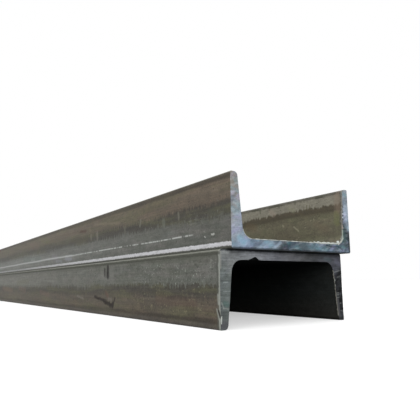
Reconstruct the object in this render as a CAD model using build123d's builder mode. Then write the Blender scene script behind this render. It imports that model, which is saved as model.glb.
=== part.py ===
"""Two hot-rolled steel channels with taper flanges, laid back to back so that their webs meet.

The lower channel stands on its flange tips and the upper one lies on its back, which gives the
outline of an I-section turned on its side. Millimetres, +Z up. X runs along the stock, and the
origin is on the floor, at the middle of the footprint.
"""
import os

from build123d import *

# Section of one channel, in the terms of a rolled-section table
depth = 140.0  # across the web, from one flange back to the other
leg = 60.0  # flange width, from the back of the web to the tip
web = 8.0
flange = 9.5  # thickness halfway along the flange's free width
taper = 0.10  # slope of the flange's inner face, 1 in 10
root_radius = 9.5  # where web and flange meet inside
toe_radius = 3.5  # inner corner of the flange tip
heel_radius = 2.0  # outer corner between web and flange
tip_radius = 1.0  # outer corner of the flange tip

# Stock and how the two pieces lie
length = 2000.0
side_offset = 6.0  # the lower channel stands this much further out on the -Y side
end_offset = 7.0  # the upper channel stands this much further out at the +X end

# Gouge that the cutting left in the end of the lower web
gouge_width = 12.0
gouge_depth = 2.8  # into the web's thickness
gouge_run = 6.0  # along the stock
gouge_from_heel = 35.5  # from the outer face of the -Y flange to the gouge's middle
gouge_flank = 20.0  # degrees that its walls lean in

half = depth / 2
free_half = (leg - web) / 2
tip_thickness = flange - taper * free_half
root_thickness = flange + taper * free_half

# Section of one channel. The back of its web is on the X axis and its flanges point along +Y.
with BuildSketch() as section:
    with BuildLine():
        right_side = Polyline(
            (0, 0),
            (half, 0),
            (half, leg),
            (half - tip_thickness, leg),
            (half - root_thickness, web),
            (0, web),
        )
        mirror(right_side, about=Plane.YZ)
    make_face()
    levels = section.vertices().group_by(Axis.Y)
    roots = levels[1].sort_by(Axis.X)
    tips = levels[-1].sort_by(Axis.X)
    heels = levels[0].sort_by(Axis.X)
    fillet([roots[0], roots[-1]], root_radius)
    fillet([tips[1], tips[2]], toe_radius)
    fillet([tips[0], tips[3]], tip_radius)
    fillet([heels[0], heels[-1]], heel_radius)

# The plane of each channel's -X end. Its origin is at the middle of the web's back, and its
# Y axis points the way the flanges go.
lower_end = Plane(
    origin=(-(length + end_offset) / 2, -side_offset / 2, leg),
    x_dir=(0, -1, 0),
    z_dir=(1, 0, 0),
)
upper_end = Plane(
    origin=(-(length - end_offset) / 2, side_offset / 2, leg),
    x_dir=(0, 1, 0),
    z_dir=(1, 0, 0),
)

with BuildPart() as lower_channel:
    with BuildSketch(lower_end):
        add(section.sketch)
    extrude(amount=length)
    # On this plane X points to the -Y flange, and Y down from the back of the web.
    with BuildSketch(lower_end.offset(length)):
        with BuildLine():
            Polyline(
                (half - gouge_from_heel - gouge_width / 2, web),
                (half - gouge_from_heel, web - gouge_depth),
                (half - gouge_from_heel + gouge_width / 2, web),
                (half - gouge_from_heel + gouge_width / 2, web + gouge_depth),
                (half - gouge_from_heel - gouge_width / 2, web + gouge_depth),
                close=True,
            )
        make_face()
    extrude(amount=-gouge_run, taper=gouge_flank, mode=Mode.SUBTRACT)

with BuildPart() as upper_channel:
    with BuildSketch(upper_end):
        add(section.sketch)
    extrude(amount=length)

os.makedirs("parts", exist_ok=True)
lower_channel.part.label = "lower_channel"
export_step(lower_channel.part, "parts/lower_channel.step")
upper_channel.part.label = "upper_channel"
export_step(upper_channel.part, "parts/upper_channel.step")
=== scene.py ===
import bpy
import math
from mathutils import Matrix, Vector


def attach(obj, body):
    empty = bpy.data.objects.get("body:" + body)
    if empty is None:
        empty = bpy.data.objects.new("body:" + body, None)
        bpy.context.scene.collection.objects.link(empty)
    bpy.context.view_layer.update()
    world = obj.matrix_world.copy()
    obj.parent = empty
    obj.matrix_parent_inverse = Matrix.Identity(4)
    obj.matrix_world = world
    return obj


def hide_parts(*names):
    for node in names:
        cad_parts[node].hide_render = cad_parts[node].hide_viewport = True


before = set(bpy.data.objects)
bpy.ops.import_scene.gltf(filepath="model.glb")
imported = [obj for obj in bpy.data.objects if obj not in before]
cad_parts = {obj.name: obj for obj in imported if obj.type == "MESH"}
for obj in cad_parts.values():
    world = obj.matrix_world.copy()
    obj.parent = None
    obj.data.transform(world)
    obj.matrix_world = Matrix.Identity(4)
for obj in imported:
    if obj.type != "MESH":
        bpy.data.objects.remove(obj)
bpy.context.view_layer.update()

# Sizes of the rolled section and of the stock, in millimetres, as the CAD model has them
SECTION = {
    "Depth": 140.0,
    "Leg": 60.0,
    "Web": 8.0,
    "Flange": 9.5,
    "Root Radius": 9.5,
    "Toe Radius": 3.5,
    "Heel Radius": 2.0,
    "Tip Radius": 1.0,
}
TAPER = 0.10  # slope of a flange's inner face
LENGTH = 2000.0
SIDE_OFFSET = 6.0  # the lower channel stands this much further out on the -Y side
END_OFFSET = 7.0  # the upper channel stands this much further out at the +X end
GOUGE_DEPTH = 2.8
GOUGE_WIDTH = 12.0
GOUGE_RUN = 6.0
GOUGE_FROM_HEEL = 35.5  # from the outer face of the -Y flange to the gouge's middle
WEB_BACK = SECTION["Leg"]  # the height at which the two webs meet
UPPER_END = (LENGTH + END_OFFSET) / 2
LOWER_END = (LENGTH - END_OFFSET) / 2
UPPER_MIDDLE = SIDE_OFFSET / 2
LOWER_MIDDLE = -SIDE_OFFSET / 2
GOUGE_MIDDLE = LOWER_MIDDLE - SECTION["Depth"] / 2 + GOUGE_FROM_HEEL
MM = 0.001


def linear(colour):
    """An sRGB hex colour as linear red, green, blue and alpha."""
    parts = [int(colour[i:i + 2], 16) / 255 for i in (1, 3, 5)]
    return [c / 12.92 if c <= 0.04045 else ((c + 0.055) / 1.055) ** 2.4 for c in parts] + [1.0]


def add(tree, kind, *values, inputs=None, stops=(), choices=2, **settings):
    """Adds a node with its settings, and sets or links the inputs it uses, in order or by name.
    Stops are the places and colours of a colour ramp, and choices is how many inputs a switch
    picks from."""
    node = tree.nodes.new(kind)
    for _ in range(choices - 2):
        node.index_switch_items.new()
    for name, value in settings.items():
        setattr(node, name, value)
    used = [socket for socket in node.inputs if socket.enabled]
    named = {socket.name: socket for socket in reversed(used)}
    given = [*zip(used, values), *((named[name], v) for name, v in (inputs or {}).items())]
    for socket, value in given:
        if isinstance(value, bpy.types.Node):
            value = next(output for output in value.outputs if output.enabled)
        if isinstance(value, bpy.types.NodeSocket):
            tree.links.new(value, socket)
        elif value is not None:
            socket.default_value = value
    for number, (place, colour) in enumerate(stops):
        elements = node.color_ramp.elements
        element = elements[number] if number < 2 else elements.new(place)
        element.position = place
        element.color = linear(colour)
    return node


def in_scene(name, data):
    """A new object with this data, in the scene."""
    piece = bpy.data.objects.new(name, data)
    bpy.context.scene.collection.objects.link(piece)
    return piece


# Shapes. One tree rolls a channel: its section is swept along the stock and closed by two cut
# ends. Another lays a burr along an edge of a cut.

CORNER_STEPS = 6
RUN_CUTS = (0, 26, 62, 26, 0, 0)  # extra points in the tip, flange, web, flange and tip runs
CORNERS = len(RUN_CUTS)
SECTION_POINTS = 2 + 4 * (CORNER_STEPS + 1) + sum(RUN_CUTS)
STATIONS = 205  # rings of points along the stock, closest together at the photographed end
EVEN_SHARE = 0.12  # of the rings' spacing. The rest of it grows from that end.
CUT_ROWS = 8  # rows of points across the thickness at a cut end
WELD = 0.01  # millimetres
WAVINESS = 0.18  # most that a rolled face sinks, in millimetres
CUT_DEPTH = 0.45  # most that an uneven cut sinks
CUT_REACH = 5.0  # stock that moves with an uneven cut
ROLLED_NOISE, CUT_NOISE, BURR_NOISE = 45.0, 140.0, 260.0  # noise scales, for metres
CREASE = 40.0  # degrees, over which an edge is sharp
GOUGE_FLANKS = (-0.8, 1.5)  # its gentle -Y flank and its steeper +Y one
BURR_STEP = 0.65  # millimetres between points along a burr
BEAD_SIDES = 7
BEAD_SUNK = 1.05  # of its radius, that a burr's middle lies behind the cut
# What a toe's arc takes up along the tip, as a share of its radius
TOE_REACH = 1 / math.tan((math.pi / 2 + math.atan(TAPER)) / 2)


def new_shape_tree(name, sizes, others):
    """A Geometry Nodes tree with an input in metres for each size, and the other inputs."""
    tree = bpy.data.node_groups.new(name, "GeometryNodeTree")
    tree.interface.new_socket("Geometry", in_out="OUTPUT", socket_type="NodeSocketGeometry")
    for label, size in sizes.items():
        socket = tree.interface.new_socket(label, in_out="INPUT", socket_type="NodeSocketFloat")
        socket.default_value = size * MM
    for label, kind, value in others:
        socket = tree.interface.new_socket(label, in_out="INPUT", socket_type="NodeSocket" + kind)
        if value is not None:
            socket.default_value = value
    return tree, add(tree, "NodeGroupInput").outputs


def section_side(tree, given, outside):
    """The section's outer or inner side, from the -Y tip round to the +Y tip. Y and Z only."""
    free = add(tree, "ShaderNodeMath", given["Leg"], given["Web"], operation="SUBTRACT")
    swing = add(tree, "ShaderNodeMath", free, TAPER / 2, operation="MULTIPLY")
    thin = add(tree, "ShaderNodeMath", given["Flange"], swing, operation="SUBTRACT")
    thick = add(tree, "ShaderNodeMath", given["Flange"], swing, operation="ADD")
    toe = add(tree, "ShaderNodeMath", given["Toe Radius"], -TOE_REACH, thin,
              operation="MULTIPLY_ADD")
    if outside:
        insets = (toe, 0.0, 0.0)
        heights = (given["Leg"], given["Leg"], 0.0)
        radii = (0.0, given["Tip Radius"], given["Heel Radius"])
    else:
        insets = (0.0, thin, thick)
        heights = (given["Leg"], given["Leg"], given["Web"])
        radii = (0.0, given["Toe Radius"], given["Root Radius"])
    line = add(tree, "GeometryNodeCurvePrimitiveLine", (0, 0, 0), (1, 0, 0))
    corners = add(tree, "GeometryNodeResampleCurve", line, mode="COUNT",
                  inputs={"Count": CORNERS})
    index = add(tree, "GeometryNodeInputIndex")
    from_end = add(tree, "ShaderNodeMath", CORNERS - 1.0, index, operation="SUBTRACT")
    level = add(tree, "ShaderNodeMath", index, from_end, operation="MINIMUM")
    centred = add(tree, "ShaderNodeMath", index, (CORNERS - 1) / 2, operation="SUBTRACT")
    hand = add(tree, "ShaderNodeMath", centred, operation="SIGN")
    inset, height, radius = (
        add(tree, "GeometryNodeIndexSwitch", level, *three, choices=3, data_type="FLOAT")
        for three in (insets, heights, radii)
    )
    half = add(tree, "ShaderNodeMath", given["Depth"], 0.5, operation="MULTIPLY")
    reach = add(tree, "ShaderNodeMath", half, inset, operation="SUBTRACT")
    across = add(tree, "ShaderNodeMath", hand, reach, operation="MULTIPLY")
    place = add(tree, "ShaderNodeCombineXYZ", 0.0, across, height)
    placed = add(tree, "GeometryNodeSetPosition", corners, inputs={"Position": place})
    rounded = add(tree, "GeometryNodeFilletCurve", placed, mode="POLY",
                  inputs={"Count": CORNER_STEPS, "Radius": radius})
    run = add(tree, "ShaderNodeMath", index, CORNER_STEPS + 1.0, operation="DIVIDE")
    part = add(tree, "ShaderNodeMath", run, operation="FRACT")
    starts = add(tree, "ShaderNodeMath", part, 0.01, operation="LESS_THAN")
    # The inner side has two points more in its web, and its first and last points go unused.
    web_cuts = RUN_CUTS[2] + (0 if outside else 2)
    cuts = add(tree, "GeometryNodeIndexSwitch", run, *RUN_CUTS[:2], web_cuts, *RUN_CUTS[3:],
               choices=CORNERS, data_type="INT")
    each = add(tree, "ShaderNodeMath", starts, cuts, operation="MULTIPLY")
    return add(tree, "GeometryNodeSubdivideCurve", rounded, each)


def channel_tree():
    """A rolled channel: its outer and inner faces, swept along the stock, and its two cuts."""
    tree, given = new_shape_tree(
        "rolled channel",
        {**SECTION, "Length": LENGTH, "End X": 0.0, "Centre Y": 0.0, "Web Back Z": 0.0,
         "Waviness": WAVINESS, "Cut Depth": CUT_DEPTH, "Gouge Depth": 0.0,
         "Gouge Width": GOUGE_WIDTH, "Gouge Run": GOUGE_RUN, "Gouge Y": 0.0},
        [("Way", "Float", 1.0), ("Seed", "Float", 0.0), ("Outer Steel", "Material", None),
         ("Inner Steel", "Material", None), ("Cut Steel", "Material", None),
         ("Far Cut Steel", "Material", None)],
    )
    position = add(tree, "GeometryNodeInputPosition")
    index = add(tree, "GeometryNodeInputIndex")
    ring = add(tree, "ShaderNodeMath", index, float(SECTION_POINTS), operation="DIVIDE")
    row = add(tree, "ShaderNodeMath", ring, operation="FLOOR")
    before = add(tree, "ShaderNodeMath", row, float(SECTION_POINTS), operation="MULTIPLY")
    column = add(tree, "ShaderNodeMath", index, before, operation="SUBTRACT")
    inner_column = add(tree, "ShaderNodeMath", column, 1.0, operation="ADD")
    on_side = [
        add(tree, "GeometryNodeSampleIndex", section_side(tree, given, outside),
            data_type="FLOAT_VECTOR", domain="POINT", inputs={"Value": position, "Index": number})
        for outside, number in ((True, column), (False, inner_column))
    ]
    # Rings stand 1.2 mm apart at the photographed end and 18 mm apart at the other.
    share = add(tree, "ShaderNodeMath", row, 1.0 / (STATIONS - 1), operation="MULTIPLY")
    squared = add(tree, "ShaderNodeMath", share, share, operation="MULTIPLY")
    evenly = add(tree, "ShaderNodeMath", share, EVEN_SHARE, operation="MULTIPLY")
    along = add(tree, "ShaderNodeMath", squared, 1.0 - EVEN_SHARE, evenly,
                operation="MULTIPLY_ADD")
    back = add(tree, "ShaderNodeMath", along, given["Length"], operation="MULTIPLY")
    sheet_x = add(tree, "ShaderNodeMath", given["End X"], back, operation="SUBTRACT")
    far_x = add(tree, "ShaderNodeMath", given["End X"], given["Length"], operation="SUBTRACT")
    depth_share = add(tree, "ShaderNodeMath", row, 1.0 / (CUT_ROWS - 1), operation="MULTIPLY")
    on_cut = add(tree, "ShaderNodeMix", depth_share, *on_side, data_type="VECTOR")
    # A grid's faces point outwards for one way of the flanges, and are turned for the other.
    upward = add(tree, "FunctionNodeCompare", given["Way"], 0.0, operation="GREATER_THAN")
    downward = add(tree, "FunctionNodeBooleanMath", upward, operation="NOT")
    sheets = []
    for rows, x, flat, turned, steel in (
        (STATIONS, sheet_x, on_side[0], downward, "Outer Steel"),
        (STATIONS, sheet_x, on_side[1], upward, "Inner Steel"),
        (CUT_ROWS, given["End X"], on_cut, upward, "Cut Steel"),
        (CUT_ROWS, far_x, on_cut, downward, "Far Cut Steel"),
    ):
        apart = add(tree, "ShaderNodeSeparateXYZ", flat)
        height = add(tree, "ShaderNodeMath", apart.outputs[2], given["Way"], given["Web Back Z"],
                     operation="MULTIPLY_ADD")
        y = add(tree, "ShaderNodeMath", apart.outputs[1], given["Centre Y"], operation="ADD")
        place = add(tree, "ShaderNodeCombineXYZ", x, y, height)
        grid = add(tree, "GeometryNodeMeshGrid",
                   inputs={"Vertices X": rows, "Vertices Y": SECTION_POINTS})
        laid = add(tree, "GeometryNodeSetPosition", grid, inputs={"Position": place})
        facing = add(tree, "GeometryNodeFlipFaces", laid, turned)
        sheets.append(add(tree, "GeometryNodeSetMaterial", facing,
                          inputs={"Material": given[steel]}))
    joined = add(tree, "GeometryNodeJoinGeometry")
    for sheet in reversed(sheets):
        tree.links.new(sheet.outputs[0], joined.inputs[0])
    welded = add(tree, "GeometryNodeMergeByDistance", joined, inputs={"Distance": WELD * MM})

    # The gouge thins the web from its inner face, most at the end.
    x, y, z = add(tree, "ShaderNodeSeparateXYZ", position).outputs
    from_end = add(tree, "ShaderNodeMath", given["End X"], x, operation="SUBTRACT")
    run_in = add(tree, "ShaderNodeMath", from_end, given["Gouge Run"], operation="DIVIDE")
    fade = add(tree, "ShaderNodeMapRange", run_in, 0.0, 1.0, 1.0, 0.0,
               interpolation_type="SMOOTHSTEP")
    off = add(tree, "ShaderNodeMath", y, given["Gouge Y"], operation="SUBTRACT")
    flanks = (add(tree, "ShaderNodeMath", off, slope, operation="MULTIPLY")
              for slope in GOUGE_FLANKS)
    off_size = add(tree, "ShaderNodeMath", *flanks, operation="MAXIMUM")
    off_share = add(tree, "ShaderNodeMath", off_size, given["Gouge Width"], operation="DIVIDE")
    flank = add(tree, "ShaderNodeMapRange", off_share, 0.0, 0.5, 1.0, 0.0)
    gouge = add(tree, "ShaderNodeMath", fade, flank, operation="MULTIPLY")
    ratio = add(tree, "ShaderNodeMath", given["Gouge Depth"], given["Web"], operation="DIVIDE")
    thinned = add(tree, "ShaderNodeMath", gouge, ratio, operation="MULTIPLY")
    below_back = add(tree, "ShaderNodeMath", given["Web Back Z"], z, operation="SUBTRACT")
    drop = add(tree, "ShaderNodeMath", below_back, thinned, operation="MULTIPLY")
    gouge_move = add(tree, "ShaderNodeCombineXYZ", 0.0, 0.0, drop)
    gouged = add(tree, "GeometryNodeSetPosition", welded, inputs={"Offset": gouge_move})

    # Rolled faces wander a little, always inwards, so that the stock keeps its rolled size.
    seed_shift = add(tree, "ShaderNodeCombineXYZ", given["Seed"], given["Seed"], given["Seed"])
    stretched = add(tree, "ShaderNodeVectorMath", position, (0.25, 1.0, 1.0), seed_shift,
                    operation="MULTIPLY_ADD")
    wander = add(tree, "ShaderNodeTexNoise", stretched, ROLLED_NOISE, 2.0)
    normal = add(tree, "GeometryNodeInputNormal")
    sink = add(tree, "ShaderNodeMath", wander, given["Waviness"], operation="MULTIPLY")
    inward = add(tree, "ShaderNodeMath", sink, -1.0, operation="MULTIPLY")
    sunk = add(tree, "ShaderNodeVectorMath", normal, inward, operation="SCALE")
    rolled = add(tree, "GeometryNodeSetPosition", gouged, inputs={"Offset": sunk})

    # The cut ends are uneven, and every edge of a cut moves with its face.
    uneven = add(tree, "ShaderNodeTexNoise", position, CUT_NOISE, 3.0)
    near_cut = add(tree, "ShaderNodeMapRange", from_end, 0.0, CUT_REACH * MM, -1.0, 0.0)
    share = add(tree, "ShaderNodeMath", uneven, near_cut, operation="MULTIPLY")
    pull_back = add(tree, "ShaderNodeMath", share, given["Cut Depth"], operation="MULTIPLY")
    cut_move = add(tree, "ShaderNodeCombineXYZ", pull_back, 0.0, 0.0)
    cut = add(tree, "GeometryNodeSetPosition", rolled, inputs={"Offset": cut_move})

    smooth = add(tree, "GeometryNodeSetShadeSmooth", cut, domain="FACE")
    angle = add(tree, "GeometryNodeInputMeshEdgeAngle")
    sharp = add(tree, "FunctionNodeCompare", angle, math.radians(CREASE), operation="GREATER_THAN")
    creased = add(tree, "GeometryNodeSetShadeSmooth", smooth, sharp, False, domain="EDGE")
    whole = add(tree, "GeometryNodeRealizeInstances", creased)
    add(tree, "NodeGroupOutput", whole)
    return tree


def burr_tree():
    """A bead of torn steel along part of a cut's edge."""
    tree, given = new_shape_tree(
        "burr along a cut edge",
        {**SECTION, "End X": 0.0, "Centre Y": 0.0, "Web Back Z": 0.0, "Size": 0.6,
         "Tooth Pitch": 3.2},
        [("Way", "Float", 1.0), ("Outside", "Bool", False), ("Start", "Float", 0.0),
         ("End", "Float", 1.0), ("Toothed", "Float", 0.0), ("Seed", "Float", 0.0),
         ("Steel", "Material", None)],
    )
    sides = [section_side(tree, given, outside) for outside in (False, True)]
    side = add(tree, "GeometryNodeSwitch", given["Outside"], *sides, input_type="GEOMETRY")
    piece = add(tree, "GeometryNodeTrimCurve", side, mode="FACTOR",
                inputs={"Start": given["Start"], "End": given["End"]})
    fine = add(tree, "GeometryNodeResampleCurve", piece, mode="LENGTH",
               inputs={"Length": BURR_STEP * MM})
    position = add(tree, "GeometryNodeInputPosition")
    _, y, z = add(tree, "ShaderNodeSeparateXYZ", position).outputs
    seed_shift = add(tree, "ShaderNodeCombineXYZ", given["Seed"], 0.0, given["Seed"])
    seeded = add(tree, "ShaderNodeVectorMath", position, seed_shift, operation="ADD")
    rough = add(tree, "ShaderNodeTexNoise", seeded, BURR_NOISE, 3.0)
    lumpy = add(tree, "ShaderNodeMapRange", rough, 0.3, 0.7, 0.15, 1.0)
    # A toothed burr swells and shrinks once in each pitch along the edge.
    gone = add(tree, "GeometryNodeSplineParameter").outputs["Length"]
    turns = add(tree, "ShaderNodeMath", gone, given["Tooth Pitch"], operation="DIVIDE")
    saw = add(tree, "ShaderNodeMath", turns, operation="FRACT")
    toothed = add(tree, "ShaderNodeMath", saw, given["Toothed"], operation="MULTIPLY")
    left = add(tree, "ShaderNodeMath", 1.0, toothed, operation="SUBTRACT")
    full = add(tree, "ShaderNodeMath", lumpy, left, operation="MULTIPLY")
    radius = add(tree, "ShaderNodeMath", full, given["Size"], operation="MULTIPLY")
    # The bead keeps inside the section's outline, so that the stock keeps its rolled size.
    top = add(tree, "ShaderNodeMath", given["Leg"], given["Size"], operation="SUBTRACT")
    low = add(tree, "ShaderNodeMath", z, given["Size"], operation="MAXIMUM")
    level = add(tree, "ShaderNodeMath", low, top, operation="MINIMUM")
    height = add(tree, "ShaderNodeMath", level, given["Way"], given["Web Back Z"],
                 operation="MULTIPLY_ADD")
    half = add(tree, "ShaderNodeMath", given["Depth"], 0.5, operation="MULTIPLY")
    reach = add(tree, "ShaderNodeMath", half, given["Size"], operation="SUBTRACT")
    most = add(tree, "ShaderNodeMath", y, reach, operation="MINIMUM")
    least = add(tree, "ShaderNodeMath", reach, -1.0, operation="MULTIPLY")
    kept_in = add(tree, "ShaderNodeMath", most, least, operation="MAXIMUM")
    across = add(tree, "ShaderNodeMath", kept_in, given["Centre Y"], operation="ADD")
    lean = add(tree, "ShaderNodeMath", radius, -BEAD_SUNK, given["End X"],
               operation="MULTIPLY_ADD")
    place = add(tree, "ShaderNodeCombineXYZ", lean, across, height)
    stored = add(tree, "GeometryNodeStoreNamedAttribute", fine, data_type="FLOAT", domain="POINT",
                 inputs={"Name": "bead radius", "Value": radius})
    laid = add(tree, "GeometryNodeSetPosition", stored, inputs={"Position": place})
    kept = add(tree, "GeometryNodeInputNamedAttribute", "bead radius", data_type="FLOAT")
    bead = add(tree, "GeometryNodeCurvePrimitiveCircle",
               inputs={"Resolution": BEAD_SIDES, "Radius": 1.0})
    strand = add(tree, "GeometryNodeCurveToMesh", laid, bead,
                 inputs={"Scale": kept, "Fill Caps": True})
    whole = add(tree, "GeometryNodeRealizeInstances", strand)
    steel = add(tree, "GeometryNodeSetMaterial", whole, inputs={"Material": given["Steel"]})
    add(tree, "NodeGroupOutput", steel)
    return tree


def grown(name, tree, **given):
    """The plain mesh that a Geometry Nodes tree makes from these inputs."""
    holder = in_scene(name, bpy.data.meshes.new(name + " start"))
    modifier = holder.modifiers.new("shape", "NODES")
    modifier.node_group = tree
    for socket in tree.interface.items_tree:
        if socket.in_out == "INPUT" and socket.name.replace(" ", "_") in given:
            modifier[socket.identifier] = given[socket.name.replace(" ", "_")]
    bpy.context.view_layer.update()
    seen = holder.evaluated_get(bpy.context.evaluated_depsgraph_get())
    mesh = bpy.data.meshes.new_from_object(seen)
    bpy.data.objects.remove(holder)
    if mesh.materials[0] is None:  # the tree may leave an empty first slot
        numbers = [0] * len(mesh.polygons)
        mesh.polygons.foreach_get("material_index", numbers)
        mesh.materials.pop(index=0)
        mesh.polygons.foreach_set("material_index", [number - 1 for number in numbers])
    return mesh


# Finishes. All patterns are drawn in millimetres on the Object coordinates, which are the row's.

# Sizes of the patterns along X, Y and Z. Rolled and sawn steel has grain finer than 1 mm, which
# is drawn about that coarse to show.
DRIFT = (130, 60, 30)  # of the bands, along the stock
FINGERS = (3.4, 9, 14)  # of thick scale, upright
BLOTCHES = (7, 4, 4)
GRIT = (1.3, 1.3, 1.3)
DRAGGED = (70, 9, 1.6)  # drawn out by the rolls
FLECKS = (3.4, 2.4, 2.4)
DUST_POINTS = (2.2, 1.7, 1.7)
DUST_AREAS = (20, 16, 10)
RUBBED_AREAS = (14, 9, 5)
RUBBED_STREAKS = (11, 2.4, 1.1)
LINE_GAPS = (13, 9, 3)
SCRATCH_SWAY = (160, 90, 90)
SCRATCH_DASHES = (4.5, 50, 50)
CUT_DRIFT = (16, 16, 12)
CUT_BLOTCHES = (4, 4, 3)
CUT_GRIT = (0.9, 0.9, 0.9)
SAW_LINES = (9, 14, 1.2)

RELIEF = 0.15  # millimetres that the grain stands up

# Places, in millimetres. Heights are from the back of the web.
HANDLED = (10.0, 40.0)  # distances from the middle in Y over which a side's own marks come in
TURN_REACH = 40.0  # distance from the middle in Y over which a cut's colours turn into a flange
BAND_SWAY = 10.0  # of the borders between the bands
BAND_SWAY_HEIGHTS = (10.0, 54.0)
GREY_HEIGHTS = (6.0, 27.0)
# over which the painted sheen grows, from the handled end away
GRAZING_SHEEN_X = (930.0, 300.0)
# over which the rubbed-bare heel line, worn steel with a painted highlight on it, grows towards
# the cut
BARE_HIGHLIGHT_X = (330.0, 950.0)
SCRATCH_SWAY_HEIGHT = 3.0
SCRATCH_HEIGHTS = (14.4, 15.6)
SCRATCH_WHOLE_X = (620.0, 760.0)
SCRATCH_STOP_X = (945.0, 955.0)
RUB_HEIGHTS = (13.4, 16.5)
RUB_X = (540.0, 720.0)
RAMP_REACH = SECTION["Depth"] / 2 + SECTION["Leg"]  # round the section, from middle to tip
RAMP_SWAY = 20.0
# How far the edges of stains, lines and strips are frayed
STAIN_FRAY_X, STAIN_FRAY_Z, LINE_FRAY, GROUND_FRAY = 4.0, 2.4, 0.9, 1.6
CUT_FRAY_Y, CUT_FRAY_Z = 1.2, 0.8
# A dull strip beside the cut, and a bright ground one over it. Each has its strength, the
# distances from the cut over which it fades out, and its tint.
GROUND_STRIPS = ((0.6, 3.8, 5.6, "#4a4c46"), (0.75, 1.7, 2.8, "#979b94"))


def new_finish(name):
    """An empty material, its tree, and the place in millimetres that it is at."""
    material = bpy.data.materials.new(name)
    material.use_nodes = True
    tree = material.node_tree
    tree.nodes.clear()
    place = add(tree, "ShaderNodeTexCoord").outputs["Object"]
    mm = add(tree, "ShaderNodeVectorMath", place, (1000, 1000, 1000), operation="MULTIPLY")
    return material, tree, mm


def patches(tree, mm, size, low, high, seed, turn=0.0, detail=3.0):
    """Uneven patches of this size in millimetres, turned about X: 0 where the noise is under
    low, and 1 where it is over high."""
    place = add(tree, "ShaderNodeMapping", mm, (seed * 137.0, seed * 71.0, seed * 53.0),
                (math.radians(turn), 0, 0), size, vector_type="TEXTURE")
    noise = add(tree, "ShaderNodeTexNoise", place, 1.0, detail, 0.6)
    return add(tree, "ShaderNodeMapRange", noise, low, high)


def strip(tree, value, low, high, soft):
    """1 where the value lies between low and high, with soft flanks."""
    up = add(tree, "ShaderNodeMapRange", value, low - soft, low + soft)
    down = add(tree, "ShaderNodeMapRange", value, high - soft, high + soft, 1.0, 0.0)
    return add(tree, "ShaderNodeMath", up, down, operation="MULTIPLY")


def stroke(tree, places, start, end, width):
    """1 along a line from start to end, and 0 beyond its width. The places are those across and
    up, in millimetres."""
    runs = [last - first for first, last in zip(start, end)]
    square = sum(run ** 2 for run in runs)
    gone = [add(tree, "ShaderNodeMath", place, -first, operation="ADD")
            for place, first in zip(places, start)]
    part = add(tree, "ShaderNodeMath", gone[0], runs[0] / square, operation="MULTIPLY")
    share = add(tree, "ShaderNodeMath", gone[1], runs[1] / square, part,
                operation="MULTIPLY_ADD", use_clamp=True)
    off = add(tree, "ShaderNodeCombineXYZ", *(
        add(tree, "ShaderNodeMath", share, -run, way, operation="MULTIPLY_ADD")
        for run, way in zip(runs, gone)))
    off = add(tree, "ShaderNodeVectorMath", off, operation="LENGTH")
    return add(tree, "ShaderNodeMapRange", off, width * 0.35, width, 1.0, 0.0)


def frayed(tree, place, pattern, most):
    """A place moved by the pattern, up to half of most either way, to give what lies there an
    uneven edge."""
    low = add(tree, "ShaderNodeMath", place, -most / 2, operation="ADD")
    return add(tree, "ShaderNodeMath", pattern, most, low, operation="MULTIPLY_ADD")


def tinted(tree, colour, tint, share, *others):
    """The colour with a tint over it, as strong as the product of the shares."""
    for other in others:
        share = add(tree, "ShaderNodeMath", share, other, operation="MULTIPLY")
    return add(tree, "ShaderNodeMix", share, colour, linear(tint), data_type="RGBA")


def marked(tree, colour, places, marks, *where):
    """The colour with marks on it. Each has its start, end and width in millimetres, its strength
    and its tint, and shows only where the last value says."""
    for start, end, width, most, tint in marks:
        line = stroke(tree, places, start, end, width)
        colour = tinted(tree, colour, tint, line, *where, most)
    return colour


def off_back(tree, z):
    """How far up or down a place is from the back of the webs."""
    over_back = add(tree, "ShaderNodeMath", z, WEB_BACK, operation="SUBTRACT")
    return add(tree, "ShaderNodeMath", over_back, operation="ABSOLUTE")


def dusted(tree, colour, mm, x, height, handled, dust, seed):
    """The colour with light dusty points, which keep to some areas. Each dusting has its reach
    in X and in height, its tint and its strength."""
    points = patches(tree, mm, DUST_POINTS, 0.63, 0.72, seed + 13, detail=1.0)
    area = patches(tree, mm, DUST_AREAS, 0.42, 0.6, seed + 12, detail=2.0)
    area = add(tree, "ShaderNodeMath", area, handled, operation="MULTIPLY")
    for start, end, low, high, tint, most in dust:
        along = strip(tree, x, start, end, 12.0)
        across = strip(tree, height, low, high, 2.0)
        colour = tinted(tree, colour, tint, along, across, points, area, most)
    return colour


def lined(tree, colour, mm, x, height, finger, handled, lines, seed):
    """The colour with ragged lines along the stock, and how bare the steel is. Each line has its
    reach in height, its tint, its strength and its look: even, broken or rubbed bare. Some lines
    are painted shade and some painted highlights on the rounded heels and tips; the near-white
    rubbed-bare line is worn steel with a painted highlight on it."""
    bare = None
    level = frayed(tree, height, finger, LINE_FRAY)
    for low, high, tint, most, look in lines:
        line = strip(tree, level, low, high, 0.4)
        share = add(tree, "ShaderNodeMath", line, most, operation="MULTIPLY")
        if look == "broken":
            gaps = patches(tree, mm, LINE_GAPS, 0.48, 0.54, seed + 19)
            share = add(tree, "ShaderNodeMath", share, gaps, operation="MULTIPLY")
        if look == "bare":
            areas = patches(tree, mm, RUBBED_AREAS, 0.3, 0.5, seed + 14)
            streaks = patches(tree, mm, RUBBED_STREAKS, 0.3, 0.55, seed + 18)
            patchy = add(tree, "ShaderNodeMath", areas, streaks, operation="ADD")
            patchy = add(tree, "ShaderNodeMapRange", patchy, 0.0, 1.6, 0.45, 1.0)
            near_end = add(tree, "ShaderNodeMapRange", x, *BARE_HIGHLIGHT_X, 0.22, 0.98)
            bared = add(tree, "ShaderNodeMapRange", handled, 0.0, 1.0, 0.35, near_end)
            share = add(tree, "ShaderNodeMath", share, patchy, operation="MULTIPLY")
            share = bare = add(tree, "ShaderNodeMath", share, bared, operation="MULTIPLY")
        colour = tinted(tree, colour, tint, share)
    return colour, bare


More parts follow.
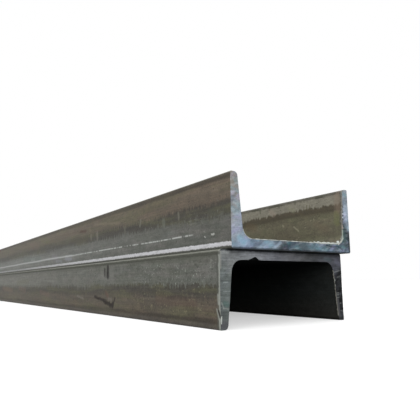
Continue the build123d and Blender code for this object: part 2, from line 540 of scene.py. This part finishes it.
def scratched(tree, colour, mm, x, height, handled, seed):
    """The colour with a dragged scratch that runs lengthwise in dashes, and is unbroken and
    rubbed where it is worn most."""
    sway = patches(tree, mm, SCRATCH_SWAY, 0.0, 1.0, seed + 15)
    path = frayed(tree, height, sway, SCRATCH_SWAY_HEIGHT)
    track = strip(tree, path, *SCRATCH_HEIGHTS, 0.4)
    dashes = patches(tree, mm, SCRATCH_DASHES, 0.43, 0.54, seed + 16)
    whole = add(tree, "ShaderNodeMapRange", x, *SCRATCH_WHOLE_X, 0.9, 0.0)
    laid = add(tree, "ShaderNodeMath", dashes, whole, operation="MAXIMUM")
    stop = add(tree, "ShaderNodeMapRange", x, *SCRATCH_STOP_X, 0.85, 0.0)
    colour = tinted(tree, colour, "#b4b7b3", laid, stop, handled, track)
    rub = add(tree, "ShaderNodeMapRange", x, *RUB_X, 0.5, 0.0)
    return tinted(tree, colour, "#a3a4a4", rub, strip(tree, path, *RUB_HEIGHTS, 0.8), handled)


def mill_scale(name, bands, tints, seed, border, dust=(), lines=(), marks=(), nicks=(),
               scratch=False, ground=None, sheen=0.35, side=-1.0, grazing_sheen=None, dragged=0.16):
    """Hot-rolled steel with its mill scale: a thin blue-grey to brown oxide, dull and blotchy.
    Bands of it run along the stock, dark where the scale is thick. Tints are patches of other
    oxide, lines are worn strips, painted shade and painted highlights along heels and tips, and
    marks are stains on the flange of one side. All heights are in millimetres from the back of
    the web."""
    material, tree, mm = new_finish(name)
    x, y, z = add(tree, "ShaderNodeSeparateXYZ", mm).outputs
    handled = add(tree, "ShaderNodeMapRange", y, *(place * side for place in HANDLED))
    height = off_back(tree, z)
    drift = patches(tree, mm, DRIFT, 0.0, 1.0, seed)
    finger = patches(tree, mm, FINGERS, 0.25, 0.75, seed + 1)
    mottle = patches(tree, mm, BLOTCHES, 0.25, 0.75, seed + 2, detail=5.0)
    fine = patches(tree, mm, GRIT, 0.25, 0.75, seed + 3)
    drag = patches(tree, mm, DRAGGED, 0.25, 0.75, seed + 4)

    # The borders of the bands drift, and short upright fingers of scale cross one of them.
    sway, reach = (
        add(tree, "ShaderNodeMath", pattern, BAND_SWAY, -BAND_SWAY / 2, operation="MULTIPLY_ADD")
        for pattern in (drift, finger)
    )
    at_border = strip(tree, height, *border, 5.0)
    fingers = add(tree, "ShaderNodeMath", reach, at_border, sway, operation="MULTIPLY_ADD")
    middle = strip(tree, height, *BAND_SWAY_HEIGHTS, 4.0)
    moved = add(tree, "ShaderNodeMath", fingers, middle, height, operation="MULTIPLY_ADD")
    level = add(tree, "ShaderNodeMath", moved, 1 / SECTION["Leg"], operation="MULTIPLY")
    colour = add(tree, "ShaderNodeValToRGB", level, stops=bands)

    for number, (size, low, high, tint, most) in enumerate(tints):
        spread = patches(tree, mm, size, 0.45, 0.62, seed + 5 + number, detail=2.0)
        colour = tinted(tree, colour, tint, spread, strip(tree, moved, low, high, 3.5), most)
    if grazing_sheen is not None:
        # Away from the handled end the scale is paler, most of all its grey half: a painted sheen,
        # the reflection of the bright surround that grows as the view grazes the face.
        away = add(tree, "ShaderNodeMapRange", x, *GRAZING_SHEEN_X, 0.0, 0.75)
        grey = strip(tree, moved, *GREY_HEIGHTS, 5.0)
        veil = add(tree, "ShaderNodeMapRange", grey, 0.0, 1.0, 0.32, 1.0)
        colour = tinted(tree, colour, grazing_sheen, away, veil)
    for grain, share in ((mottle, 0.28), (drag, dragged), (fine, 0.22)):
        colour = add(tree, "ShaderNodeMix", share, colour, grain, data_type="RGBA",
                     blend_type="OVERLAY")

    # Thick scale stays on in dark flecks.
    flecks = patches(tree, mm, FLECKS, 0.62, 0.68, seed + 11, detail=2.0)
    colour = tinted(tree, colour, "#2a2823", flecks, 0.4)
    if dust:
        colour = dusted(tree, colour, mm, x, height, handled, dust, seed)
    if ground is not None:
        inset = add(tree, "ShaderNodeMath", ground, x, operation="SUBTRACT")
        inset = frayed(tree, inset, mottle, GROUND_FRAY)
        for most, inner, outer, tint in GROUND_STRIPS:
            share = add(tree, "ShaderNodeMapRange", inset, inner, outer, most, 0.0)
            colour = tinted(tree, colour, tint, share)

    # Stains have frayed edges. Fine scratches and nicks are too small for that.
    stained = (frayed(tree, x, finger, STAIN_FRAY_X), frayed(tree, z, mottle, STAIN_FRAY_Z))
    colour = marked(tree, colour, stained, marks, handled)
    colour = marked(tree, colour, (x, z), nicks, handled)
    colour, bare = lined(tree, colour, mm, x, height, finger, handled, lines, seed)
    if scratch:
        colour = scratched(tree, colour, mm, x, height, handled, seed)

    dull = add(tree, "ShaderNodeMapRange", mottle, 0.0, 1.0, 0.55, 0.8)
    if bare is not None:
        dull = add(tree, "ShaderNodeMix", bare, dull, 0.4)
    relief = add(tree, "ShaderNodeMath", mottle, 0.6, fine, operation="MULTIPLY_ADD")
    pitted = add(tree, "ShaderNodeMath", flecks, -0.6, relief, operation="MULTIPLY_ADD")
    bump = add(tree, "ShaderNodeBump",
               inputs={"Strength": 0.6, "Distance": RELIEF * MM, "Height": pitted})
    shader = add(tree, "ShaderNodeBsdfPrincipled", inputs={
        "Base Color": colour, "Metallic": bare, "Roughness": dull, "Specular IOR Level": sheen,
        "Normal": bump})
    add(tree, "ShaderNodeOutputMaterial", shader)
    return material


# Colours of the bands, by height as a share of the leg
UPPER_BANDS = (
    (0.00, "#4e4f48"), (0.12, "#53554f"), (0.43, "#585953"), (0.48, "#44423d"), (0.61, "#423f38"),
    (0.66, "#5b5348"), (0.89, "#62594d"), (0.92, "#474138"),
)
LOWER_BANDS = (
    (0.00, "#4b4d44"), (0.12, "#55574f"), (0.43, "#5a5c55"), (0.46, "#45433c"), (0.60, "#433f39"),
    (0.65, "#534d44"), (0.85, "#524b41"), (0.885, "#3c372f"), (0.915, "#3d3830"),
    (0.94, "#4d4842"),
)
# Patches of other oxide: their size, reach in height, tint and strength
OUTSIDE_TINTS = (
    ((50, 30, 8), 38.0, 56.0, "#69584a", 0.24),
    ((70, 30, 9), 26.0, 56.0, "#5a5a42", 0.45),
    ((55, 30, 9), 5.0, 24.0, "#5c605c", 0.4),
    ((30, 30, 6), 5.0, 24.0, "#6d6a67", 0.45),
)
INSIDE_BANDS = (
    (0.15, "#545042"), (0.56, "#5a5646"), (0.65, "#534f3f"), (0.69, "#423d2f"), (0.76, "#453f32"),
    (0.79, "#716e62"), (0.93, "#706d61"), (0.95, "#504d45"),
)
INSIDE_TINTS = (
    ((34, 20, 12), 8.0, 40.0, "#585b44", 0.4),
    ((90, 26, 20), -1.0, 9.0, "#4c4e4a", 0.6),
    ((60, 18, 20), -1.0, 11.0, "#5c4a3c", 0.45),
)
# Painted shade: the inside of the lower channel, a tunnel on the floor, is coloured far darker
# than its scale, to stand in for the shade in it.
TUNNEL_SHADE_BANDS = ((0.0, "#202322"), (0.6, "#252827"), (1.0, "#2c2b28"))

# Marks on the flanges: where each starts and ends in X and Z, its width, strength and tint
UPPER_STAINS = (
    # a brown spot, and upright scuffs
    ((668, 105.5), (690, 104.5), 3.0, 0.7, "#4f3d36"),
    ((709, 96), (711, 92), 4.0, 0.4, "#77746a"),
    ((730, 97), (732, 91), 4.6, 0.45, "#7a776c"),
    ((812, 96), (813, 91), 3.2, 0.4, "#6e6d60"),
    ((851, 99), (850, 94), 2.6, 0.5, "#75756a"),
    ((899, 93), (901, 88), 3.6, 0.5, "#666a60"),
    ((926, 97), (927, 92), 2.4, 0.45, "#78766a"),
    # bright chips
    ((978, 73), (981, 73), 1.3, 0.8, "#a9aba5"),
    ((968, 71.5), (969, 71), 1.0, 0.8, "#9a9c96"),
    # pale rubbing beside the scratch
    ((606, 72), (634, 70), 3.6, 0.6, "#84868c"),
    ((560, 70), (590, 69), 3.0, 0.4, "#84868c"),
    ((606, 75.4), (636, 75), 1.5, 0.5, "#a9abb0"),
    # olive, brown, teal, pink and lilac oxide, far along the stock
    ((470, 110), (520, 106), 6.0, 0.3, "#6f7058"),
    ((418, 98), (432, 97), 4.0, 0.5, "#56504a"),
    ((346, 112), (362, 111), 3.0, 0.4, "#5a5650"),
    ((350, 82), (470, 78), 8.0, 0.25, "#62706b"),
    ((395, 105), (450, 101), 8.0, 0.25, "#7b6a60"),
    ((500, 103), (590, 98), 5.0, 0.3, "#5f5d47"),
    ((540, 78), (565, 75), 7.0, 0.3, "#7f7a82"),
    ((405, 79), (430, 78), 3.0, 0.4, "#8b8f8b"),
    # thick scale, and a tan streak
    ((625, 95), (700, 92), 5.0, 0.3, "#4d4640"),
    ((720, 110), (800, 103), 2.2, 0.35, "#7d7363"),
    # dark flecks near the cut
    ((975, 92), (985, 88), 3.0, 0.35, "#474a42"),
    ((966, 86), (972, 83), 2.4, 0.35, "#474a42"),
    ((984, 80), (990, 77), 2.0, 0.3, "#4b4e47"),
    # a long band of thick scale
    ((200, 97), (620, 97.5), 6.5, 0.4, "#5a5850"),
)
LOWER_STAINS = (
    # two dark bars with pale patches beside them
    ((764, 50), (766, 44), 7.0, 0.18, "#83847d"),
    ((795, 49), (794, 45), 8.0, 0.18, "#83847d"),
    ((773, 51), (774, 45), 3.4, 0.8, "#2a2624"),
    ((782, 53), (783, 43), 4.6, 0.95, "#1d1918"),
    # a rusty spot, and a dark stroke that ends in a hook
    ((778, 25), (783, 22), 4.0, 0.35, "#67493f"),
    ((744, 20), (772, 16), 2.2, 0.9, "#28231f"),
    ((772, 16), (790, 12), 3.2, 0.95, "#28231f"),
    ((790, 12), (798, 11), 3.8, 0.95, "#28231f"),
    ((798, 12), (803, 19), 2.2, 0.9, "#28231f"),
    # pale patches
    ((785, 18), (795, 17), 3.0, 0.35, "#7a746c"),
    ((682, 41), (683, 31), 7.0, 0.3, "#73726a"),
    ((680, 20), (704, 17), 2.4, 0.45, "#76736b"),
    # rusty, pinkish, olive and dark oxide along the stock
    ((900, 21), (960, 18), 7.0, 0.2, "#5d4538"),
    ((196, 28), (290, 24), 6.0, 0.35, "#7d6a5e"),
    ((350, 29), (400, 25), 6.0, 0.25, "#7b675c"),
    ((500, 23), (550, 19), 5.0, 0.28, "#76635a"),
    ((330, 39), (420, 41), 6.0, 0.25, "#5f6049"),
    ((340, 8), (375, 7), 3.0, 0.4, "#4a4741"),
    ((505, 36), (560, 35), 5.0, 0.3, "#54504a"),
)
LOWER_CHIPS = (
    ((993.6, 25.5), (994.2, 19.5), 1.9, 0.7, "#90938c"),
    ((991.6, 15), (995.4, 6), 1.2, 0.6, "#90938c"),
    ((994, 14), (995.8, 9.5), 1.3, 0.95, "#24211e"),
    ((984.5, 52), (984.8, 47), 1.2, 0.4, "#84887f"),
)
INNER_STAINS = (
    ((998, 115), (999, 101), 6.0, 0.4, "#7b6b5c"),
    ((997, 98), (998, 88), 3.6, 0.4, "#60643c"),
    ((868, 99), (880, 96), 6.0, 0.3, "#5f4f38"),
    ((972, 90), (985, 84), 5.0, 0.2, "#6b5c49"),
    ((905, 113), (912, 108), 4.0, 0.3, "#8a7c70"),
    ((935, 111), (942, 108), 3.0, 0.3, "#7c7d62"),
)
INNER_NICKS = (
    # thick scale that hangs down from the tip
    ((888, 117.5), (889, 112.5), 1.8, 0.5, "#3c3c2e"),
    ((903.6, 118.5), (904, 114.5), 2.0, 0.5, "#3c3c2e"),
    ((917, 119), (919, 115.5), 2.4, 0.5, "#3c3c2e"),
    ((931, 118), (936, 117), 1.5, 0.45, "#3c3c2e"),
    ((941.5, 119), (943, 115.5), 2.2, 0.5, "#3c3c2e"),
    ((958, 118), (966, 118.2), 1.3, 0.5, "#3c3c2e"),
    ((974, 118.4), (985, 118.2), 1.5, 0.5, "#3c3c2e"),
    # teeth of the dark band
    ((955.6, 110), (955.6, 106), 0.9, 0.5, "#48442f"),
    ((959.5, 111.2), (959.5, 106), 1.0, 0.6, "#48442f"),
    ((963.4, 110.6), (963.4, 106), 1.0, 0.5, "#48442f"),
    # light scratches
    ((926, 94.2), (927, 93.2), 1.6, 0.55, "#88856f"),
    ((942.4, 90.8), (949.2, 85.9), 1.2, 0.55, "#88856f"),
    ((969, 96), (969.5, 95), 1.0, 0.5, "#807e68"),
)

upper_outside = mill_scale(
    "hot_rolled_steel_upper_outside", UPPER_BANDS, OUTSIDE_TINTS, 3.0, (22.0, 40.0),
    dust=((870.0, 998.0, 14.0, 40.0, "#8b8e86", 0.35),),
    # The second line, near white, is worn bare steel on the rounded heel with a painted reflection
    # of the bright light from below on it, and the third is a painted highlight along the tip's
    # rounding.
    lines=((0.3, 1.7, "#5c5d57", 0.85, "even"), (2.5, 5.6, "#f0f0f4", 1.0, "bare"),
           (58.8, 61.0, "#77756a", 0.5, "even")),
    marks=UPPER_STAINS, scratch=True, grazing_sheen="#7d7f7b",
)
lower_outside = mill_scale(
    "hot_rolled_steel_lower_outside", LOWER_BANDS, OUTSIDE_TINTS, 61.0, (24.0, 40.0),
    dust=((840.0, 990.0, 8.0, 28.0, "#9aa297", 0.7), (855.0, 980.0, 30.0, 50.0, "#8a8668", 0.5)),
    # The first line is a painted highlight on the rounded heel at the top, and the second, just
    # below it, is painted shade.
    lines=((-1.0, 1.6, "#6e6f67", 0.8, "even"), (1.8, 4.2, "#3f4038", 0.75, "even")),
    marks=LOWER_STAINS, nicks=LOWER_CHIPS, ground=LOWER_END, grazing_sheen="#7a7a74",
)
upper_inside = mill_scale(
    "hot_rolled_steel_upper_inside", INSIDE_BANDS, INSIDE_TINTS, 97.0, (45.5, 49.5),
    dust=((860.0, 990.0, 14.0, 40.0, "#8a8873", 0.5),),
    lines=((55.8, 58.4, "#36362a", 0.85, "broken"),),
    marks=INNER_STAINS, nicks=INNER_NICKS, side=1.0, dragged=0.06,
)
# Its near-black colour is painted shade, not the colour of the scale.
lower_inside = mill_scale("hot_rolled_steel_lower_inside", TUNNEL_SHADE_BANDS, (), 131.0, (22.0, 40.0),
                          sheen=0.1)


def cut_steel(name, ramp, centre_y, seed, tints, scored, metallic=0.5, back_shade=0.8,
              sheen=0.2, marks=()):
    """Bare steel at a cut end, under a thin oxide that shows as lilac, blue and teal, with fine
    lines left by the cutting. The ramp runs round the section, from the -Y tip to the +Y tip,
    and a painted shade darkens the back of the web, in the crease where the two channels meet."""
    material, tree, mm = new_finish(name)
    _, y, z = add(tree, "ShaderNodeSeparateXYZ", mm).outputs
    height = off_back(tree, z)
    mottle = patches(tree, mm, CUT_BLOTCHES, 0.25, 0.75, seed, detail=4.0)
    fine = patches(tree, mm, CUT_GRIT, 0.25, 0.75, seed + 1)
    lines = patches(tree, mm, SAW_LINES, 0.3, 0.7, seed + 2)
    from_middle = add(tree, "ShaderNodeMath", y, -centre_y, operation="ADD")
    hand = add(tree, "ShaderNodeMapRange", from_middle, -TURN_REACH, TURN_REACH, -1.0, 1.0)
    along = add(tree, "ShaderNodeMath", height, hand, from_middle, operation="MULTIPLY_ADD")
    wander = patches(tree, mm, CUT_DRIFT, 0.0, 1.0, seed + 3)
    moved = frayed(tree, along, wander, RAMP_SWAY)
    level = add(tree, "ShaderNodeMapRange", moved, -RAMP_REACH, RAMP_REACH)
    colour = add(tree, "ShaderNodeValToRGB", level, stops=ramp)
    for number, (size, turn, tint, most) in enumerate(tints):
        spread = patches(tree, mm, size, 0.48, 0.62, seed + 4 + number, turn=turn)
        colour = tinted(tree, colour, tint, spread, most)
    for grain, share in ((mottle, 0.22), (lines, scored), (fine, 0.15)):
        colour = add(tree, "ShaderNodeMix", share, colour, grain, data_type="RGBA",
                     blend_type="OVERLAY")
    places = (frayed(tree, y, mottle, CUT_FRAY_Y), frayed(tree, z, fine, CUT_FRAY_Z))
    colour = marked(tree, colour, places, marks)
    # Painted shade: a dark line along the back of the web, where the webs of the two channels
    # meet.
    back = frayed(tree, height, mottle, CUT_FRAY_Z)
    back = add(tree, "ShaderNodeMapRange", back, 0.8, 1.8, back_shade, 0.0)
    colour = tinted(tree, colour, "#24282b", back)
    dull = add(tree, "ShaderNodeMapRange", mottle, 0.0, 1.0, 0.5, 0.7)
    relief = add(tree, "ShaderNodeMath", lines, scored * 2, fine, operation="MULTIPLY_ADD")
    bump = add(tree, "ShaderNodeBump",
               inputs={"Strength": 0.7, "Distance": RELIEF * MM, "Height": relief})
    shader = add(tree, "ShaderNodeBsdfPrincipled", inputs={
        "Base Color": colour, "Metallic": metallic, "Roughness": dull,
        "Specular IOR Level": sheen, "Normal": bump})
    add(tree, "ShaderNodeOutputMaterial", shader)
    return material


# Colours round the section at a cut, by the share of the way from the -Y tip to the +Y tip
# The upper cut's bright blue-grey is partly its thin oxide and partly a painted reflection of the
# sky on its bare steel.
UPPER_CUT_RAMP = (
    (0.04, "#807c75"), (0.15, "#8b8d91"), (0.27, "#7a8fa3"), (0.38, "#7c8b9b"), (0.44, "#33383a"),
    (0.60, "#5e6e77"), (0.74, "#3d4a50"), (0.84, "#232c2f"), (0.87, "#939cab"),
    (0.925, "#92a0ae"), (0.97, "#7f878b"),
)
# Patches of other oxide: their size, turn in degrees, tint and strength
UPPER_CUT_TINTS = (
    ((30, 24, 6), 35.0, "#9a95b8", 0.4),
    ((30, 20, 6), -25.0, "#5f929f", 0.3),
    ((30, 14, 3), 15.0, "#b3bcc4", 0.25),
    ((30, 18, 7), 40.0, "#3a4549", 0.5),
)
# Marks on the cuts: where each starts and ends in Y and Z, its width, strength and tint
UPPER_CUT_MARKS = (
    # the near root
    ((-66.5, 64), (-62.5, 63.5), 3.2, 0.45, "#6d7e8d"),
    ((-56, 64), (-51, 64.5), 3.4, 0.4, "#91a6ba"),
    ((-59, 68.5), (-55, 65.5), 3.6, 0.3, "#6aa0b0"),
    # a light and a dark streak across the web
    ((-22, 62.5), (-16, 66.5), 1.8, 0.45, "#9fb2c2"),
    ((-12, 61.5), (-9, 64), 2.0, 0.5, "#4a4658"),
    ((-8, 62), (0, 67), 3.0, 0.65, "#27323b"),
    # a torn line under the bead
    ((40, 66.4), (47, 65.2), 0.8, 0.8, "#25323a"),
    ((47, 65.2), (56, 65.8), 0.7, 0.8, "#25323a"),
    ((56, 65.8), (62, 62.8), 0.8, 0.6, "#25323a"),
    # the dark far root and heel
    ((65.5, 80), (66.5, 68), 3.4, 0.7, "#3b4d4c"),
    ((71.8, 79), (72.2, 63), 2.2, 0.75, "#2b3035"),
    ((61.5, 66), (64.5, 65), 2.4, 0.5, "#5c8282"),
    # the light edge round the far root
    ((56.5, 68.3), (61, 71), 1.3, 0.9, "#c0c1ba"),
    ((61, 71), (63.2, 74), 1.2, 0.9, "#aeb3a9"),
    ((63.2, 74), (63.3, 81), 1.2, 0.85, "#9aa59a"),
    # a dull edge along the far flange, and its teeth
    ((65.4, 105), (63.2, 83), 1.2, 0.8, "#6b6963"),
    ((66, 116), (65.2, 106), 1.2, 0.6, "#83828a"),
    *(((y, z), (y + 1.4, z), 0.8, 0.85, "#4a5055")
      for y, z in ((65.4, 103.3), (64.8, 98.3), (64.6, 95), (64.3, 91.6))),
    *(((y, z), (y + 1, z), 0.7, 0.8, "#c2ccd0") for y, z in ((64.4, 96.7), (64.1, 93.3))),
    # the top of the light edge
    ((62.6, 85.5), (64, 83), 1.3, 0.7, "#a49a93"),
)
LOWER_CUT_RAMP = (
    (0.04, "#565b5a"), (0.17, "#5a605e"), (0.24, "#767979"), (0.35, "#7e8185"), (0.45, "#62646a"),
    (0.54, "#636467"), (0.61, "#414243"), (0.78, "#42444b"), (0.83, "#131415"),
)
LOWER_CUT_TINTS = (
    ((30, 22, 6), 25.0, "#7c8088", 0.13),
    ((30, 18, 7), 40.0, "#35373b", 0.25),
)
LOWER_CUT_MARKS = (
    # the near flange: a pale edge, saw lines and a dark toe
    ((-72.5, 58), (-72.5, 46), 1.5, 0.4, "#8d8d86"),
    ((-72.5, 42), (-65, 42), 0.5, 0.3, "#838a89"),
    ((-69.5, 34.9), (-65.6, 34.9), 0.5, 0.45, "#939b9b"),
    ((-70, 28.3), (-63.6, 28.2), 0.5, 0.4, "#8c9393"),
    ((-69, 19.5), (-66.5, 18.5), 2.8, 0.5, "#46605a"),
    ((-71.7, 20), (-70, 15.8), 0.8, 0.35, "#8b928d"),
    ((-70, 15.8), (-65.6, 15.4), 0.8, 0.4, "#8b928d"),
    ((-72, 3.5), (-67.5, 3.5), 4.4, 0.6, "#47454a"),
    ((-72.4, 9.6), (-72.2, 6.6), 1.1, 0.6, "#a5a8a3"),
    # the far end of the web
    ((46, 55), (52, 54), 2.6, 0.3, "#4f6064"),
    ((60, 53), (66, 50), 3.4, 0.4, "#5f5f6e"),
    # the far flange: saw lines, specks and a dull edge
    ((56, 42.6), (64, 44.5), 0.7, 0.45, "#7b7f7d"),
    ((61, 38.3), (65.5, 39.5), 0.8, 0.35, "#6a6e6c"),
    ((59.6, 19), (61.4, 4.5), 2.3, 0.55, "#545457"),
    ((57.9, 24.2), (61.8, 24.4), 0.6, 0.55, "#7c807d"),
    ((57.9, 22.6), (61.8, 22.6), 0.6, 0.45, "#7c807d"),
    ((58, 20.2), (62, 20.4), 0.6, 0.45, "#7c807d"),
    ((57.2, 36.4), (57.2, 35.4), 0.8, 0.7, "#9aa09c"),
    ((57.3, 31.4), (57.3, 30.6), 0.8, 0.7, "#8f9591"),
    ((62.6, 15), (64.4, 15.2), 0.6, 0.5, "#77797a"),
    ((63.6, 8.5), (66.4, 8), 0.6, 0.5, "#77797a"),
)

upper_cut = cut_steel("heat_tinted_cut_steel", UPPER_CUT_RAMP, UPPER_MIDDLE, 5.0, UPPER_CUT_TINTS,
                      0.1, marks=UPPER_CUT_MARKS)
lower_cut = cut_steel("saw_cut_steel", LOWER_CUT_RAMP, LOWER_MIDDLE, 25.0, LOWER_CUT_TINTS, 0.28,
                      metallic=0.25, sheen=0.1, marks=LOWER_CUT_MARKS)
# Burrs are bright where the cut tore the steel, and dull where oxide has covered them.
burr_steel, dull_burr_steel = (
    cut_steel(name, ((0.0, near), (1.0, far)), 0.0, seed, (), 0.2, metallic, back_shade=0.0)
    for name, near, far, seed, metallic in (
        ("burr_of_bright_steel", "#a4a9a4", "#9fa4a0", 45.0, 0.2),
        ("burr_of_dull_steel", "#5a5b55", "#63625b", 65.0, 0.1),
    )
)


# The two channels

channel = channel_tree()
burr = burr_tree()
upper_place, lower_place = (
    {"End_X": end * MM, "Centre_Y": middle * MM, "Web_Back_Z": WEB_BACK * MM, "Way": way}
    for end, middle, way in ((UPPER_END, UPPER_MIDDLE, 1.0), (LOWER_END, LOWER_MIDDLE, -1.0))
)

# Burrs along the cuts: where each starts and ends, as shares of a side of the section, its size in
# millimetres, how deep its teeth are, its steel, and whether it is on the outer side
UPPER_BURRS = (
    (0.225, 0.6, 0.6, 0.0, burr_steel, False),
    (0.6, 0.745, 2.3, 0.0, burr_steel, False),
    (0.745, 0.79, 0.8, 0.0, dull_burr_steel, False),
    (0.79, 0.97, 1.7, 0.5, dull_burr_steel, False),
)
LOWER_BURRS = (
    (0.03, 0.05, 0.8, 0.0, burr_steel, True),
    (0.775, 0.86, 0.8, 0.7, dull_burr_steel, False),
    (0.86, 0.955, 0.9, 0.2, dull_burr_steel, False),
)


def finished(name, node, channel_mesh, place, burrs):
    """The channel and its burrs as one piece that stands for the CAD node."""
    parts = [in_scene(name, channel_mesh)]
    for number, (start, end, size, toothed, steel, outside) in enumerate(burrs):
        mesh = grown(f"{name} burr {number}", burr, **place, Start=start, End=end, Size=size * MM,
                     Toothed=toothed, Seed=0.7 * number, Outside=outside, Steel=steel)
        parts.append(in_scene(f"{name}_burr_{number}", mesh))
    with bpy.context.temp_override(active_object=parts[0], object=parts[0],
                                   selected_objects=parts, selected_editable_objects=parts):
        bpy.ops.object.join()
    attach(parts[0], "root")
    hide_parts(node)


finished(
    "upper_rolled_channel", "upper_channel",
    grown("upper channel", channel, **upper_place, Seed=0.3, Outer_Steel=upper_outside,
          Inner_Steel=upper_inside, Cut_Steel=upper_cut, Far_Cut_Steel=lower_cut),
    upper_place, UPPER_BURRS,
)
finished(
    "lower_rolled_channel", "lower_channel",
    grown("lower channel", channel, **lower_place, Seed=5.3, Gouge_Depth=GOUGE_DEPTH * MM,
          Gouge_Y=GOUGE_MIDDLE * MM, Outer_Steel=lower_outside, Inner_Steel=lower_inside,
          Cut_Steel=lower_cut, Far_Cut_Steel=upper_cut),
    lower_place, LOWER_BURRS,
)


# The stage: a pale floor, a soft white surround and four soft lamps

FLOOR_REACH = 60.0  # metres
FLOOR_GLOW = 0.45  # light of its own that the camera sees
SURROUND_LIGHT = 0.75  # of the surround on the steel. The camera sees it at 1.
floor_mesh = bpy.data.meshes.new("floor")
corners = ((-1, -1), (1, -1), (1, 1), (-1, 1))
floor_mesh.from_pydata([(x * FLOOR_REACH, y * FLOOR_REACH, 0) for x, y in corners], [],
                       [(0, 1, 2, 3)])
floor = in_scene("floor", floor_mesh)
# The camera sees the floor pale, and the steel gets only a little light back from it.
floor_finish, tree, _ = new_finish("pale_floor")
seen = add(tree, "ShaderNodeLightPath").outputs["Is Camera Ray"]
tone = add(tree, "ShaderNodeMix", seen, linear("#4a4a4a"), linear("#c0c0c0"), data_type="RGBA")
glow = add(tree, "ShaderNodeMath", seen, FLOOR_GLOW, operation="MULTIPLY")
shader = add(tree, "ShaderNodeBsdfPrincipled", inputs={
    "Base Color": tone, "Roughness": 0.9, "Specular IOR Level": 0.2,
    "Emission Color": linear("#ffffff"), "Emission Strength": glow})
add(tree, "ShaderNodeOutputMaterial", shader)
floor_mesh.materials.append(floor_finish)

world = bpy.data.worlds.new("soft_surround")
world.use_nodes = True
world.node_tree.nodes.clear()
seen = add(world.node_tree, "ShaderNodeLightPath").outputs["Is Camera Ray"]
strength = add(world.node_tree, "ShaderNodeMix", seen, SURROUND_LIGHT, 1.0)
sky = add(world.node_tree, "ShaderNodeBackground", (1, 1, 1, 1), strength)
add(world.node_tree, "ShaderNodeOutputWorld", sky)
bpy.context.scene.world = world


def lamp(name, kind, place, target, size, power):
    """A soft lamp that points at the target. Its size is metres, or degrees for a sun."""
    data = bpy.data.lights.new(name, kind)
    data.energy = power
    if kind == "SUN":
        data.angle = math.radians(size)
    else:
        data.shape = "SQUARE"
        data.size = size
    way = Vector(target) - Vector(place)
    turn = way.to_track_quat("-Z", "Y").to_matrix().to_4x4()
    in_scene(name, data).matrix_world = Matrix.Translation(place) @ turn


lamp("overhead_lamp", "SUN", (1.0, -1.6, 4.0), (0.0, 0.0, 0.0), 70.0, 1.6)
lamp("side_lamp", "SUN", (0.25, -1.0, 0.18), (0.0, 0.0, 0.0), 30.0, 1.0)
lamp("back_lamp", "SUN", (-0.3, 1.0, 0.35), (0.0, 0.0, 0.0), 60.0, 0.5)
lamp("end_lamp", "AREA", (3.5, -0.4, 0.8), (1.0, 0.0, 0.06), 1.4, 52.0)

# The camera stands low in front of the photographed end, and looks a little up.
IMAGE_SIZE = 420  # pixels along a side
FOCAL_LENGTH = 442.24  # pixels
SENSOR = 36.0  # millimetres
CAMERA_PLACE = (1.263777, -0.271420, 0.034795)  # metres
CAMERA_RIGHT = (0.577476, 0.816331, -0.011175)
CAMERA_UP = (0.138794, -0.084677, 0.986694)
camera_data = bpy.data.cameras.new("camera")
camera_data.sensor_width = SENSOR
camera_data.lens = FOCAL_LENGTH / IMAGE_SIZE * SENSOR
camera_data.clip_start = 0.01
camera = in_scene("camera", camera_data)
right, up = Vector(CAMERA_RIGHT), Vector(CAMERA_UP)
turn = Matrix((right, up, right.cross(up))).transposed()
camera.matrix_world = Matrix.Translation(CAMERA_PLACE) @ turn.to_4x4()
bpy.context.scene.camera = camera
bpy.context.scene.view_settings.view_transform = "Standard"
